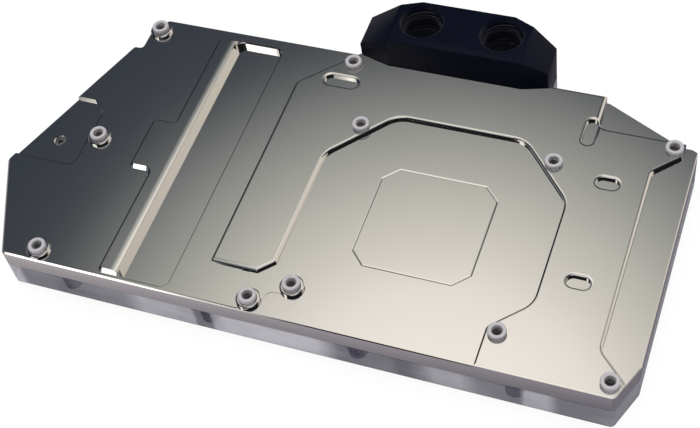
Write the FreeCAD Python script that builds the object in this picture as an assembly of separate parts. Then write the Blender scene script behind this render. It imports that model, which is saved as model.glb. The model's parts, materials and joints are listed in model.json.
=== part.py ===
import FreeCAD
import Part
import math
import os

V = FreeCAD.Vector

# Levels above the cover's lower face, card side up
coverThickness = 8.8
plateauHeight = 6.8  # contact plateau above the cover
flatDrop = 1.0  # left flat below the plateau
middleDrop = 1.1
recessDrop = 1.2  # floor round the processor pad
padRise = 0.15  # processor pad above the recess round it
pocketDrop = 2.0
cornerDrop = 2.9
trenchDepth = 3.0
edgeChamfer = 0.5
recessChamfer = 0.25
plateauChamfer = 0.6

# Plate outline, from the front left corner
plateRight = 183.8
plateDepth = 97.3
frontCornerX = 0.3
frontRightCut = 4.4
frontRightRise = 11.2
tipX = -14.5
tipY = 32.1
shoulderX = 4.6
shoulderBack = 13.1
standX = 7.4
backLeftCut = 3.8
slantStart = 28.5
slantDrop = 13.9
cornerRadius = 1.5
tipRadius = 2.2

# Processor and its four holes
chipX = 116.5
chipY = 40.0
chipPitch = 58.4
padSize = 34.4
padCut = 4.3
padChamfer = 0.35
padGroove = 0.35  # fine groove round the pad, as deep as it is wide

# Holes that take the card's screws
holeRadius = 1.5
holeDepth = 4.0
smallHoleDepth = 3.8
smallHoleBevel = 0.4
rowInset = 3.9  # front row from the front edge
backRowInset = 5.1
leftColumn = 10.8
middleColumn = 76.9
rightInset = 6.5
rightHoleBack = 15.3
midHole = (10.2, 46.6)
bossRadius = 3.5
keepOut = 3.45  # clear radius that the plateau's slanted edges leave round a hole
bossChamfer = 0.4

# Washers
washerRadius = 2.6
washerBore = 1.55
washerThickness = 1.6
landRadius = 2.8  # plateau left beside the back right hole

# Raised strip, its lug and the trench beside it
trenchLeft = 37.2
trenchWidth = 15.4
trenchFront = 1.5
trenchBack = 3.75
trenchRim = 0.4
trenchRadius = 2.5
stripWidth = 6.25
stripFront = 1.35
stripBack = 3.65
stripCorner = 1.6
lugWidth = 7.1
lugFront = 38.2
lugLength = 19.25
stripRound = 0.8

# Contact plateau and the recess that it surrounds
armSide = 36.3  # inner side of the left arm from the processor's middle
armWidth = 18.4
plateauFront = 12.85
armTipWidth = 4.0
armCut = 4.2
backSlantClear = 4.5  # the slanted back left edge leaves this beside the back row's middle hole
recessReach = 35.85  # recess to the right of the processor's middle
recessDepth = 35.25  # and behind it
recessCutX = 16.6
recessCutY = 18.3
recessRadius = 7.5
plateauRadius = 4.0
legReach = 25.85
legRise = 1.6  # above the two front holes of the processor
plateauRight = 173.0

# Low back corner
cornerLeft = 154.5
cornerRise = 12.25

# Shallow pocket at the left edge and its threaded hole
pocketRight = 6.7
pocketFront = 34.7
pocketBack = 60.2
pocketCut = 4.1
smallHole = (-2.3, 43.2)

# Obround clearance pockets in the plateau: centre, length, width, along X or Y
slotDepth = 1.2
slots = [
    (75.4, 84.7, 10.9, 4.2, "X"),
    (152.9, 83.0, 9.8, 3.5, "Y"),
    (162.0, 66.0, 6.6, 4.0, "X"),
    (162.2, 31.8, 6.6, 4.0, "X"),
]
slotRim = 0.4

# Terminal block
portPitch = 25.0
portRadius = 6.58  # G1/4 thread, major radius
portDepth = 12.0
portBore = 4.5
portBevel = 0.3
portSetback = 10.1  # ports behind the terminal's front face
terminalX = 108.45
terminalTop = 26.5
terminalOverlap = 3.2  # how far it reaches over the plate's back edge line
terminalDepth = 18.0
topHalfWidth = 20.9
leftReach = 30.6
rightReach = 28.5
leftEndDrop = 6.4
rightEndDrop = 4.9
endSetback = 2.6
rightSetback = 2.2
backFlat = 14.6
leftBackCut = 3.8
leftBackStep = 2.5
rightBackCut = 5.2
rightBackStep = 2.7
terminalGap = 0.25
endChamfer = 0.6

# Coolant space in the cover
channelFloor = 3.0
channelWidth = 8.0
channelRound = 2.4
channelFront = 18.0
channelLeft = 28.0
channelMiddle = 66.0
channelBack = 18.8
feedReach = 27.5
feedWidth = 6.0
linkWidth = 7.5
linkMargin = 1.25  # outer manifold beside the first fin
manifoldRise = 1.3
tunnelHeight = 3.0
portShaft = 4.2

# Micro-fins and jet plate
finLength = 36.0
finPitch = 1.0
finGap = 0.5
finCount = 30
finHeight = 2.5
jetLength = 30.0
jetWidth = 20.0
jetThickness = 0.8
jetSlit = 1.6
jetSlitLength = 24.0
jetClearance = 0.1
manifoldDepth = 8.5
landWidth = 1.5

# Gaskets
gasketWidth = 2.1
gasketDepth = 1.6
gasketClearance = 0.05
gasketInset = 9.4
gasketLeft = 20.5
gasketRight = 158.5
gasketBack = 10.8
gasketRadius = 5.0
ringInner = 5.1
ringOuter = 6.8
ringDepth = 1.3

# Socket screws, M3
screwRadius = 1.45
screwBore = 1.5
screwClearance = 1.7
headRadius = 2.75
headHeight = 3.0
headRecess = 3.3
headClearance = 0.3
coverScrewLength = 8.0
terminalScrewLength = 12.0
screwsPerRow = 4
screwStart = 18.0
screwPitch = 44.7
screwRow = 4.0
screwBackRow = 6.3
screwBeside = 6.0
leftScrewY = 66.0
rightScrewY = 48.0
screwEnd = 0.5
terminalScrewLeft = 6.0
terminalScrewRight = 5.2
terminalScrewFront = 2.6  # ahead of the ports
screwSides = 8

zPlate = coverThickness
zPlateau = zPlate + plateauHeight
zFlat = zPlateau - flatDrop
zMiddle = zPlateau - middleDrop
zRecess = zPlateau - recessDrop
zPad = zRecess + padRise
zPocket = zPlateau - pocketDrop
zCorner = zPlateau - cornerDrop
zTrench = zPlateau - trenchDepth
stripLeft = trenchLeft - stripWidth
lugLeft = stripLeft - lugWidth
armRight = chipX - armSide
plateauLeft = armRight - armWidth
recessRight = chipX + recessReach
recessBack = chipY + recessDepth
legLeft = chipX + legReach
legTop = chipY - chipPitch / 2 + legRise
cornerFront = plateDepth - cornerRise
terminalFront = plateDepth - terminalOverlap
terminalBack = terminalFront + terminalDepth
portY = terminalFront + portSetback
beyond = 30.0  # regions run this far past the outline before they are trimmed to it


def roundedWire(corners, z):
    """Closed wire through (x, y, radius) corners, each rounded by a tangent arc."""
    count = len(corners)
    ends = []
    for i in range(count):
        x, y, radius = corners[i]
        p = V(x, y, z)
        before = V(corners[i - 1][0], corners[i - 1][1], z) - p
        after = V(corners[(i + 1) % count][0], corners[(i + 1) % count][1], z) - p
        before.normalize()
        after.normalize()
        if radius == 0:
            ends.append((p, p, p))
            continue
        half = before.getAngle(after) / 2
        reach = radius / math.tan(half)
        middle = before + after
        middle.normalize()
        centre = p + middle * (radius / math.sin(half))
        ends.append((p + before * reach, centre - middle * radius, p + after * reach))
    edges = []
    for i in range(count):
        start, crown, end = ends[i]
        if (end - start).Length > 1e-6:
            edges.append(Part.Arc(start, crown, end).toShape())
        following = ends[(i + 1) % count][0]
        if (following - end).Length > 1e-6:
            edges.append(Part.LineSegment(end, following).toShape())
    return Part.Wire(edges)


def prism(corners, low, high):
    face = Part.Face(roundedWire(corners, low))
    return face.extrude(V(0, 0, high - low))


def box(x0, x1, y0, y1, z0, z1):
    return Part.makeBox(x1 - x0, y1 - y0, z1 - z0, V(x0, y0, z0))


def drill(x, y, radius, low, high):
    return Part.makeCylinder(radius, high - low, V(x, y, low))


def sided(x, y, radius, low, high):
    """Upright prism with few sides, for the hidden screws and their holes: flats at the given radius."""
    corner = radius / math.cos(math.pi / screwSides)
    points = []
    for i in range(screwSides + 1):
        angle = math.pi * (2 * i + 1) / screwSides
        points.append(V(x + corner * math.cos(angle), y + corner * math.sin(angle), low))
    return Part.Face(Part.makePolygon(points)).extrude(V(0, 0, high - low))


def obround(x, y, length, width, along, low, high):
    half = length / 2
    side = width / 2
    a, b = (half, side) if along == "X" else (side, half)
    corners = [(x - a, y - b, side), (x + a, y - b, side), (x + a, y + b, side), (x - a, y + b, side)]
    corners = [(cx, cy, r - 0.001) for cx, cy, r in corners]
    return prism(corners, low, high)


def topEdges(shape, z, outline=None):
    """Horizontal edges at height z, and only those on the given outline when there is one."""
    found = []
    for edge in shape.Edges:
        bounds = edge.BoundBox
        if abs(bounds.ZMin - z) > 1e-4 or abs(bounds.ZMax - z) > 1e-4:
            continue
        if outline:
            middle = edge.valueAt((edge.FirstParameter + edge.LastParameter) / 2)
            flat = V(middle.x, middle.y, 0)
            if outline.distToShape(Part.Vertex(flat))[0] > 1e-3:
                continue
        found.append(edge)
    return found


# Plan of the plate and cover
plateOutline = [
    (frontCornerX, 0, cornerRadius),
    (plateRight - frontRightCut, 0, cornerRadius),
    (plateRight, frontRightRise, tipRadius),
    (plateRight, plateDepth - slantDrop, 1.0),
    (plateRight - slantStart, plateDepth, cornerRadius),
    (standX + backLeftCut, plateDepth, cornerRadius),
    (standX, plateDepth - backLeftCut, cornerRadius),
    (standX, plateDepth - shoulderBack, 1.2),
    (shoulderX, plateDepth - shoulderBack, 1.0),
    (tipX, tipY, tipRadius),
]
outlineWire = roundedWire(plateOutline, 0)

# Plan of the terminal, with slanted front corners and a faceted back
terminalLeft = terminalX - leftReach
terminalRight = terminalX + rightReach
terminalPlan = [
    (terminalX - topHalfWidth, terminalFront, 0),
    (terminalX + topHalfWidth, terminalFront, 0),
    (terminalRight, terminalFront + rightSetback, 0),
    (terminalRight, terminalBack - rightBackCut, 0),
    (terminalX + topHalfWidth, terminalBack - rightBackStep, 0),
    (terminalX + backFlat, terminalBack, 0),
    (terminalX - backFlat, terminalBack, 0),
    (terminalX - topHalfWidth, terminalBack - leftBackStep, 0),
    (terminalLeft, terminalBack - leftBackCut, 0),
    (terminalLeft, terminalFront + endSetback, 0),
]

# Holes of the card's screws: (x, y, stands on a boss)
halfPitch = chipPitch / 2
backRow = plateDepth - backRowInset
backSlant = backRow - middleColumn + backSlantClear
rightColumn = plateRight - rightInset
standoffs = [
    (leftColumn, backRow, True),
    (midHole[0], midHole[1], True),
    (leftColumn, rowInset, True),
    (middleColumn, backRow, False),
    (chipX - halfPitch, chipY + halfPitch, False),
    (chipX + halfPitch, chipY + halfPitch, False),
    (rightColumn, plateDepth - rightHoleBack, False),
    (middleColumn, rowInset, True),
    (chipX - halfPitch, chipY - halfPitch, True),
    (chipX + halfPitch, chipY - halfPitch, False),
    (rightColumn, rowInset, False),
]

# Regions of the card side
farLeft = tipX - beyond
farRight = plateRight + beyond
farBack = plateDepth + beyond
flatRegion = [
    (farLeft, -beyond, 0),
    (middleColumn - 2.1, -beyond, 0),
    (middleColumn - 2.1, plateauFront - 3.3, 3.0),
    (middleColumn - 6.5, plateauFront + 0.6, 0),
    (armRight - armTipWidth, plateauFront + 2 * armTipWidth, 0),
    (armRight - armTipWidth, farBack, 0),
    (farLeft, farBack, 0),
]
middleRegion = [
    (middleColumn - 3.0, plateauFront + 1.0, 0),
    (middleColumn - 3.0, rowInset, 0),
    (middleColumn + 3.5, rowInset, 0),
    (middleColumn + 4.4, rowInset + 3.9, 2.0),
    (chipX - halfPitch, rowInset + 4.3, 0),
    (chipX - halfPitch, chipY - halfPitch, 0),
    (armRight, plateauFront + armCut, 0),
    (armRight - 1.0, plateauFront + armCut + 3.0, 0),
]
rightSum = rightColumn + rowInset + math.sqrt(2) * keepOut
rightDifference = rightColumn - (plateDepth - rightHoleBack) + math.sqrt(2) * keepOut
plateauRegion = [
    (legLeft, -beyond, 0),
    (rightSum + beyond, -beyond, 0),
    (plateauRight, rightSum - plateauRight, plateauRadius),
    (plateauRight, plateauRight - rightDifference, 2.5),
    (rightColumn + landRadius, rightColumn + landRadius - rightDifference, 0.8),
    (rightColumn + landRadius, cornerFront, 0),
    (cornerLeft, cornerFront, 3.0),
    (cornerLeft, farBack, 0),
    (farBack - backSlant, farBack, 0),
    (plateauLeft, plateauLeft + backSlant, 3.0),
    (plateauLeft, plateauFront, 0.8),
    (armRight - armCut, plateauFront, 1.0),
    (armRight, plateauFront + armCut, 1.2),
    (armRight, recessBack - recessCutY, recessRadius),
    (armRight + recessCutX, recessBack, recessRadius),
    (recessRight - recessCutX, recessBack, recessRadius),
    (recessRight, recessBack - recessCutY, recessRadius),
    (recessRight, legTop + recessRight - legLeft, recessRadius),
    (legLeft, legTop, 2.5),
]
cornerRegion = [
    (cornerLeft - 2.0, cornerFront - 1.0, 0),
    (farRight, cornerFront - 1.0, 0),
    (farRight, farBack, 0),
    (cornerLeft - 2.0, farBack, 0),
]
pocketRegion = [
    (farLeft, pocketFront, 0),
    (pocketRight, pocketFront, 2.6),
    (pocketRight, pocketBack - pocketCut, 2.0),
    (pocketRight - pocketCut, pocketBack, 2.6),
    (farLeft, pocketBack, 0),
]
stripRegion = [
    (stripLeft, stripFront, stripCorner),
    (trenchLeft, stripFront, 0),
    (trenchLeft, plateDepth - stripBack, 0),
    (stripLeft, plateDepth - stripBack, stripCorner),
    (stripLeft, lugFront + lugLength, 1.2),
    (lugLeft, lugFront + lugLength, stripCorner),
    (lugLeft, lugFront, stripCorner),
    (stripLeft, lugFront, 1.4),
]
trenchRight = trenchLeft + trenchWidth
trenchEnd = plateDepth - trenchBack
trenchRegion = [
    (trenchLeft, trenchFront, trenchRadius),
    (trenchRight, trenchFront, trenchRadius),
    (trenchRight, trenchEnd, trenchRadius),
    (trenchLeft, trenchEnd, trenchRadius),
]
rimRadius = trenchRadius + trenchRim
rimRegion = [
    (trenchLeft, trenchFront - trenchRim, rimRadius),
    (trenchRight + trenchRim, trenchFront - trenchRim, rimRadius),
    (trenchRight + trenchRim, trenchEnd + trenchRim, rimRadius),
    (trenchLeft, trenchEnd + trenchRim, rimRadius),
]


def padOutline(outset):
    """Square with cut corners round the processor's middle, moved out by the given distance."""
    half = padSize / 2 + outset
    near = padSize / 2 - padCut + outset * math.tan(math.pi / 8)
    turns = [(-near, -half), (near, -half), (half, -near), (half, near)]
    corners = turns + [(-x, -y) for x, y in turns]
    return [(chipX + x, chipY + y, 0) for x, y in corners]


def level(region, top, chamfer):
    """The outline's prism up to a level, trimmed to a region, with its outer edge chamfered."""
    body = prism(plateOutline, zPlate, top)
    if region:
        body = body.common(prism(region, zPlate - 1, top + 1))
    return body.makeChamfer(chamfer, topEdges(body, top, outlineWire))


def besideTrench(edge):
    return abs(edge.BoundBox.XMin - trenchLeft) < 1e-3


def boss(x, y, foot, top):
    body = drill(x, y, bossRadius, foot - 1.0, top)
    return body.makeChamfer(bossChamfer, topEdges(body, top))


# Screws of the cover: two rows just outside the gasket and one at each end, clear of the standoffs
coverScrewSpots = []
for i in range(screwsPerRow):
    x = screwStart + i * screwPitch
    coverScrewSpots += [(x, screwRow), (x, plateDepth - screwBackRow)]
coverScrewSpots += [(gasketLeft - screwBeside, leftScrewY), (gasketRight + screwBeside, rightScrewY)]
terminalScrewSpots = [
    (terminalLeft + terminalScrewLeft, portY - terminalScrewFront),
    (terminalX, portY - terminalScrewFront),
    (terminalRight - terminalScrewRight, portY - terminalScrewFront),
]
coverScrewTip = headRecess + coverScrewLength
terminalScrewTip = headRecess + terminalScrewLength

# Cold plate
sunk = prism(pocketRegion, zPlate - 2, zPlateau).fuse(prism(cornerRegion, zPlate - 2, zPlateau))
base = prism(plateOutline, zPlate, zRecess).cut(sunk)
base = base.makeChamfer(recessChamfer, topEdges(base, zRecess, outlineWire))
flat = level(flatRegion, zFlat, edgeChamfer).cut(sunk)
pocketFloor = level(pocketRegion, zPocket, edgeChamfer)
cornerFloor = level(cornerRegion, zCorner, edgeChamfer)
middle = prism(middleRegion, zPlate, zMiddle)

notch = prism(terminalPlan, zPlate - 1, zPlateau + 1).makeOffsetShape(terminalGap, 0.001, join=2)
plateau = prism(plateOutline, zPlate, zPlateau).common(prism(plateauRegion, zPlate - 1, zPlateau + 1))
plateau = plateau.makeChamfer(plateauChamfer, topEdges(plateau, zPlateau))

strip = prism(stripRegion, zPlate, zPlateau)
strip = strip.makeChamfer(flatDrop, [e for e in topEdges(strip, zPlateau) if not besideTrench(e)])
strip = strip.makeFillet(stripRound, [e for e in topEdges(strip, zPlateau) if besideTrench(e)])
moat = prism(padOutline(padGroove), zRecess - padGroove, zRecess + 1)
moat = moat.makeChamfer(padGroove, topEdges(moat, zRecess - padGroove))
base = base.cut(moat)
pad = prism(padOutline(0), zPlate, zPad)
pad = pad.makeChamfer(padChamfer, topEdges(pad, zPad))

plate = base.multiFuse([flat, pocketFloor, cornerFloor, middle, plateau, strip, pad])
plate = plate.multiFuse([boss(x, y, zRecess, zPlateau) for x, y, stands in standoffs if stands])
trenchEdge = prism(rimRegion, zFlat - trenchRim, zPlateau + 1)
trenchEdge = trenchEdge.makeChamfer(trenchRim, [e for e in topEdges(trenchEdge, zFlat - trenchRim) if not besideTrench(e)])
cuts = [prism(trenchRegion, zTrench, zPlateau + 1), trenchEdge, notch]
for x, y, length, width, along in slots:
    cuts.append(obround(x, y, length, width, along, zPlateau - slotDepth, zPlateau + 1))
    rim = obround(x, y, length + 2 * slotRim, width + 2 * slotRim, along, zPlateau - slotRim, zPlateau + 1)
    cuts.append(rim.makeChamfer(slotRim, topEdges(rim, zPlateau - slotRim)))
for x, y, stands in standoffs:
    cuts.append(drill(x, y, holeRadius, zPlateau - holeDepth, zPlateau + 1))
cuts.append(drill(smallHole[0], smallHole[1], holeRadius, zPocket - smallHoleDepth, zPocket + 1))
bevelFoot = V(smallHole[0], smallHole[1], zPocket - smallHoleBevel)
cuts.append(Part.makeCone(holeRadius, holeRadius + 2 * smallHoleBevel, 2 * smallHoleBevel, bevelFoot))
for x, y in coverScrewSpots:
    cuts.append(sided(x, y, screwBore, zPlate - 1, coverScrewTip + screwEnd))
firstGap = chipX - (finCount - 1) * finPitch / 2
for i in range(finCount):
    x = firstGap + i * finPitch
    y0 = chipY - finLength / 2
    cuts.append(box(x - finGap / 2, x + finGap / 2, y0, y0 + finLength, zPlate - 1, zPlate + finHeight))
plate = plate.cut(Part.makeCompound(cuts)).removeSplitter()

# Clear cover
tongue = prism(terminalPlan, 0, coverThickness)
cover = prism(plateOutline, 0, coverThickness).fuse(tongue).removeSplitter()


def channel(path, low, high):
    """Milled channel with round ends and bends along a path of points."""
    half = channelWidth / 2
    runs = []
    for (x0, y0), (x1, y1) in zip(path, path[1:]):
        runs.append(box(min(x0, x1) - half, max(x0, x1) + half, min(y0, y1) - half, max(y0, y1) + half, low, high))
    body = runs[0].multiFuse(runs[1:]) if len(runs) > 1 else runs[0]
    body = body.removeSplitter()
    upright = [e for e in body.Edges if abs(e.BoundBox.ZLength - (high - low)) < 1e-4]
    return body.makeFillet(channelRound, upright)


outletX = terminalX - portPitch / 2
inletX = terminalX + portPitch / 2
backLeg = plateDepth - channelBack
channelTop = coverThickness + 1
linkX = chipX - finCount * finPitch / 2 - linkMargin - channelWidth / 2
outletPath = [
    (linkX, chipY),
    (channelMiddle, chipY),
    (channelMiddle, channelFront),
    (channelLeft, channelFront),
    (channelLeft, backLeg),
    (outletX, backLeg),
]
feedX = chipX + feedReach
inletPath = [(inletX, backLeg), (feedX, backLeg), (feedX, chipY), (chipX + jetLength / 2 + feedWidth / 2, chipY)]
hollows = [channel(outletPath, channelFloor, channelTop), channel(inletPath, channelFloor, channelTop)]
jetSeat = coverThickness - jetThickness
halfSlit = jetSlitLength / 2 + 1.0
feedHalf = feedWidth / 2
feedPocket = box(chipX - halfSlit, feedX, chipY - feedHalf, chipY + feedHalf, channelFloor, jetSeat + jetClearance)
hollows.append(feedPocket)
gap = jetClearance
seatX = jetLength / 2 + gap
seatY = jetWidth / 2 + gap
hollows.append(box(chipX - seatX, chipX + seatX, chipY - seatY, chipY + seatY, jetSeat, channelTop))
landY = jetWidth / 2 + landWidth
finEdge = finCount * finPitch / 2 + finGap
linkLeft = linkX - channelWidth / 2
manifoldFloor = channelFloor + manifoldRise
for side in (1, -1):
    near = chipY + side * landY
    far = chipY + side * (landY + manifoldDepth)
    hollows.append(box(linkLeft, chipX + finEdge, min(near, far), max(near, far), manifoldFloor, channelTop))
linkEnd = landY + manifoldDepth
hollows.append(box(linkLeft, linkLeft + linkWidth, chipY - linkEnd, chipY + linkEnd, manifoldFloor, channelTop))
tunnelTop = channelFloor + tunnelHeight
for x in (outletX, inletX):
    hollows.append(box(x - portShaft, x + portShaft, backLeg, portY, channelFloor, tunnelTop))
    hollows.append(drill(x, portY, portShaft, channelFloor, channelTop))

gasketPlan = [
    (gasketLeft, gasketInset, gasketRadius),
    (gasketRight, gasketInset, gasketRadius),
    (gasketRight, plateDepth - gasketBack, gasketRadius),
    (gasketLeft, plateDepth - gasketBack, gasketRadius),
]


def ringPrism(width, low, high):
    """Closed band of the given width along the gasket's plan."""
    half = width / 2
    outer = [
        (gasketLeft - half, gasketInset - half, gasketRadius + half),
        (gasketRight + half, gasketInset - half, gasketRadius + half),
        (gasketRight + half, plateDepth - gasketBack + half, gasketRadius + half),
        (gasketLeft - half, plateDepth - gasketBack + half, gasketRadius + half),
    ]
    inner = [
        (gasketLeft + half, gasketInset + half, gasketRadius - half),
        (gasketRight - half, gasketInset + half, gasketRadius - half),
        (gasketRight - half, plateDepth - gasketBack - half, gasketRadius - half),
        (gasketLeft + half, plateDepth - gasketBack - half, gasketRadius - half),
    ]
    return prism(outer, low, high).cut(prism(inner, low, high))


grooveFloor = coverThickness - gasketDepth
hollows.append(ringPrism(gasketWidth + 2 * gasketClearance, grooveFloor, channelTop))
for x, y in coverScrewSpots + terminalScrewSpots:
    hollows.append(sided(x, y, screwClearance, -1, channelTop))
    hollows.append(sided(x, y, headRadius + headClearance, -1, headRecess))
for hollow in hollows:
    cover = cover.cut(hollow)

# Main gasket, pressed into its groove
gasket = ringPrism(gasketWidth, grooveFloor, coverThickness)

# Jet plate with its slit
jetPlate = box(
    chipX - jetLength / 2, chipX + jetLength / 2, chipY - jetWidth / 2, chipY + jetWidth / 2, jetSeat, coverThickness
)
jetPlate = jetPlate.cut(obround(chipX, chipY, jetSlitLength, jetSlit, "X", jetSeat - 1, coverThickness + 1))


def uprightEnd(edge):
    """True for the upright edges at the terminal's two ends."""
    bounds = edge.BoundBox
    atEnd = min(abs(bounds.XMin - terminalLeft), abs(bounds.XMin - terminalRight)) < 0.01
    return atEnd and bounds.ZLength > 1


# Terminal: flat top with slanted ends, two threaded ports, a gasket recess round each bore below
terminal = prism(terminalPlan, coverThickness, terminalTop)
terminal = terminal.makeChamfer(endChamfer, [e for e in terminal.Edges if uprightEnd(e)])


def endWedge(x0, x1, drop):
    y0 = terminalFront - 5
    points = [V(x0, y0, terminalTop), V(x1, y0, terminalTop - drop), V(x1, y0, terminalTop + 5), V(x0, y0, terminalTop + 5)]
    face = Part.Face(Part.makePolygon(points + [points[0]]))
    return face.extrude(V(0, terminalDepth + 10, 0))


terminal = terminal.cut(endWedge(terminalX - topHalfWidth, terminalLeft, leftEndDrop))
terminal = terminal.cut(endWedge(terminalX + topHalfWidth, terminalRight, rightEndDrop))
for x in (outletX, inletX):
    terminal = terminal.cut(drill(x, portY, portRadius, terminalTop - portDepth, terminalTop + 1))
    terminal = terminal.cut(drill(x, portY, portBore, coverThickness - 1, terminalTop))
    rimFoot = V(x, portY, terminalTop - portBevel)
    terminal = terminal.cut(Part.makeCone(portRadius, portRadius + 2 * portBevel, 2 * portBevel, rimFoot))
    terminal = terminal.cut(drill(x, portY, ringOuter, coverThickness - 1, coverThickness + ringDepth))
for x, y in terminalScrewSpots:
    terminal = terminal.cut(sided(x, y, screwBore, coverThickness - 1, terminalScrewTip + screwEnd))


def portGasket(x):
    ring = drill(x, portY, ringOuter - gasketClearance, coverThickness, coverThickness + ringDepth)
    return ring.cut(drill(x, portY, ringInner, coverThickness - 1, coverThickness + ringDepth + 1))


def capScrew(x, y, length):
    """Cap screw that points up, with its head in the cover's counterbore."""
    head = sided(x, y, headRadius, headRecess - headHeight, headRecess)
    return head.fuse(sided(x, y, screwRadius, headRecess, headRecess + length))


def washer(x, y):
    ring = drill(x, y, washerRadius, zPlateau, zPlateau + washerThickness)
    ring = ring.cut(drill(x, y, washerBore, zPlateau - 1, zPlateau + washerThickness + 1))
    return ring


nodes = {
    "cold_plate": plate,
    "acrylic_cover": cover,
    "main_gasket": gasket,
    "jet_plate": jetPlate,
    "terminal": terminal,
    "port_gasket_1": portGasket(outletX),
    "port_gasket_2": portGasket(inletX),
    "cover_screws": Part.makeCompound([capScrew(x, y, coverScrewLength) for x, y in coverScrewSpots]),
    "terminal_screws": Part.makeCompound(
        [capScrew(x, y, terminalScrewLength) for x, y in terminalScrewSpots]
    ),
}
for number, (x, y, stands) in enumerate(standoffs, 1):
    nodes["washer_%d" % number] = washer(x, y)

# The origin is under the middle of the whole block, on its lower face
whole = Part.makeCompound([cover, terminal]).BoundBox
toOrigin = V(-(whole.XMin + whole.XMax) / 2, -(whole.YMin + whole.YMax) / 2, 0)

os.makedirs("parts", exist_ok=True)
for name, shape in nodes.items():
    shape.translate(toOrigin)
    shape.exportStep("parts/%s.step" % name)
    print(name, len(shape.Solids), "valid", shape.isValid(), "volume %.1f" % shape.Volume)
print("size", whole.XLength, whole.YLength, zPlateau + washerThickness, "top", terminalTop, "shift", toOrigin)
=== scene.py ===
import bpy
import bmesh
import json
import math
from mathutils import Matrix, Vector

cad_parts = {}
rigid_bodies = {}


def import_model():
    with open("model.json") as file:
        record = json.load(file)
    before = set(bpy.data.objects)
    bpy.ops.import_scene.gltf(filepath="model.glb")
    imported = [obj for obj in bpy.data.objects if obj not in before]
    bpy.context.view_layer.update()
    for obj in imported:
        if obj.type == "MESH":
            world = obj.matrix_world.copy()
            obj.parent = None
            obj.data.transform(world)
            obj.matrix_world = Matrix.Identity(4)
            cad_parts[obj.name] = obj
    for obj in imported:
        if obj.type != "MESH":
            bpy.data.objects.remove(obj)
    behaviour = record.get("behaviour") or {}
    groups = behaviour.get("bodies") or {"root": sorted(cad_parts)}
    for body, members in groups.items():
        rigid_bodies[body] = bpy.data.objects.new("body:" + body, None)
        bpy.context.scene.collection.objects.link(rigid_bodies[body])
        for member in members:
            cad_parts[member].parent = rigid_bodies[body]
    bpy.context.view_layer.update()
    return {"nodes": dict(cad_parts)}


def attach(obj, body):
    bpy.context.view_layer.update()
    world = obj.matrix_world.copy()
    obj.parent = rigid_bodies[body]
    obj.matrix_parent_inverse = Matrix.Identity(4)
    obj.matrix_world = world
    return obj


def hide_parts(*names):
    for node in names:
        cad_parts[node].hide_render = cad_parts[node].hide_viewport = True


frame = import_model()
nodes = frame["nodes"]
scene = bpy.context.scene
print("frame loaded:", len(nodes), "solids")

# plan sizes are in millimetres from the plate's front left corner, and the frame's origin is the block's middle
originX, originY = 84.7392, 56.05


def place(x, y, z=0.0):
    return Vector(((x - originX) / 1000, (y - originY) / 1000, z / 1000))


def planSpot(point):
    return point * 1000 + Vector((originX, originY, 0))


def newObject(name, data):
    obj = bpy.data.objects.new(name, data)
    scene.collection.objects.link(obj)
    return obj


# shader helpers: a Wire is a socket that can be added, scaled and so on, and a Recipe adds the other nodes
def inputOf(node, name):
    if name[0] == "i" and name[1:].isdigit():  # i0, i1 and so on count the sockets
        return node.inputs[int(name[1:])]
    return node.inputs[name.replace("_", " ")]


class Wire:
    def __init__(self, tree, socket):
        self.tree, self.socket = tree, socket

    def maths(self, operation, first, second=None):
        node = self.tree.nodes.new("ShaderNodeMath")
        node.operation = operation
        for slot, value in zip(node.inputs, (first, second)):
            if isinstance(value, Wire):
                self.tree.links.new(value.socket, slot)
            elif value is not None:
                slot.default_value = value
        return Wire(self.tree, node.outputs[0])

    def __add__(self, other): return self.maths("ADD", self, other)
    def __radd__(self, other): return self.maths("ADD", other, self)
    def __sub__(self, other): return self.maths("SUBTRACT", self, other)
    def __rsub__(self, other): return self.maths("SUBTRACT", other, self)
    def __mul__(self, other): return self.maths("MULTIPLY", self, other)
    def __rmul__(self, other): return self.maths("MULTIPLY", other, self)
    def __truediv__(self, other): return self.maths("DIVIDE", self, other)
    def __pow__(self, other): return self.maths("POWER", self, other)
    def atLeast(self, other): return self.maths("MAXIMUM", self, other)
    def atMost(self, other): return self.maths("MINIMUM", self, other)
    def within(self, low, high): return self.atLeast(low).atMost(high)
    def isAbove(self, limit): return self.maths("GREATER_THAN", self, limit)
    def size(self): return self.maths("ABSOLUTE", self)
    def arcSine(self): return self.maths("ARCSINE", self)
    def arcCosine(self): return self.maths("ARCCOSINE", self)


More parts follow.
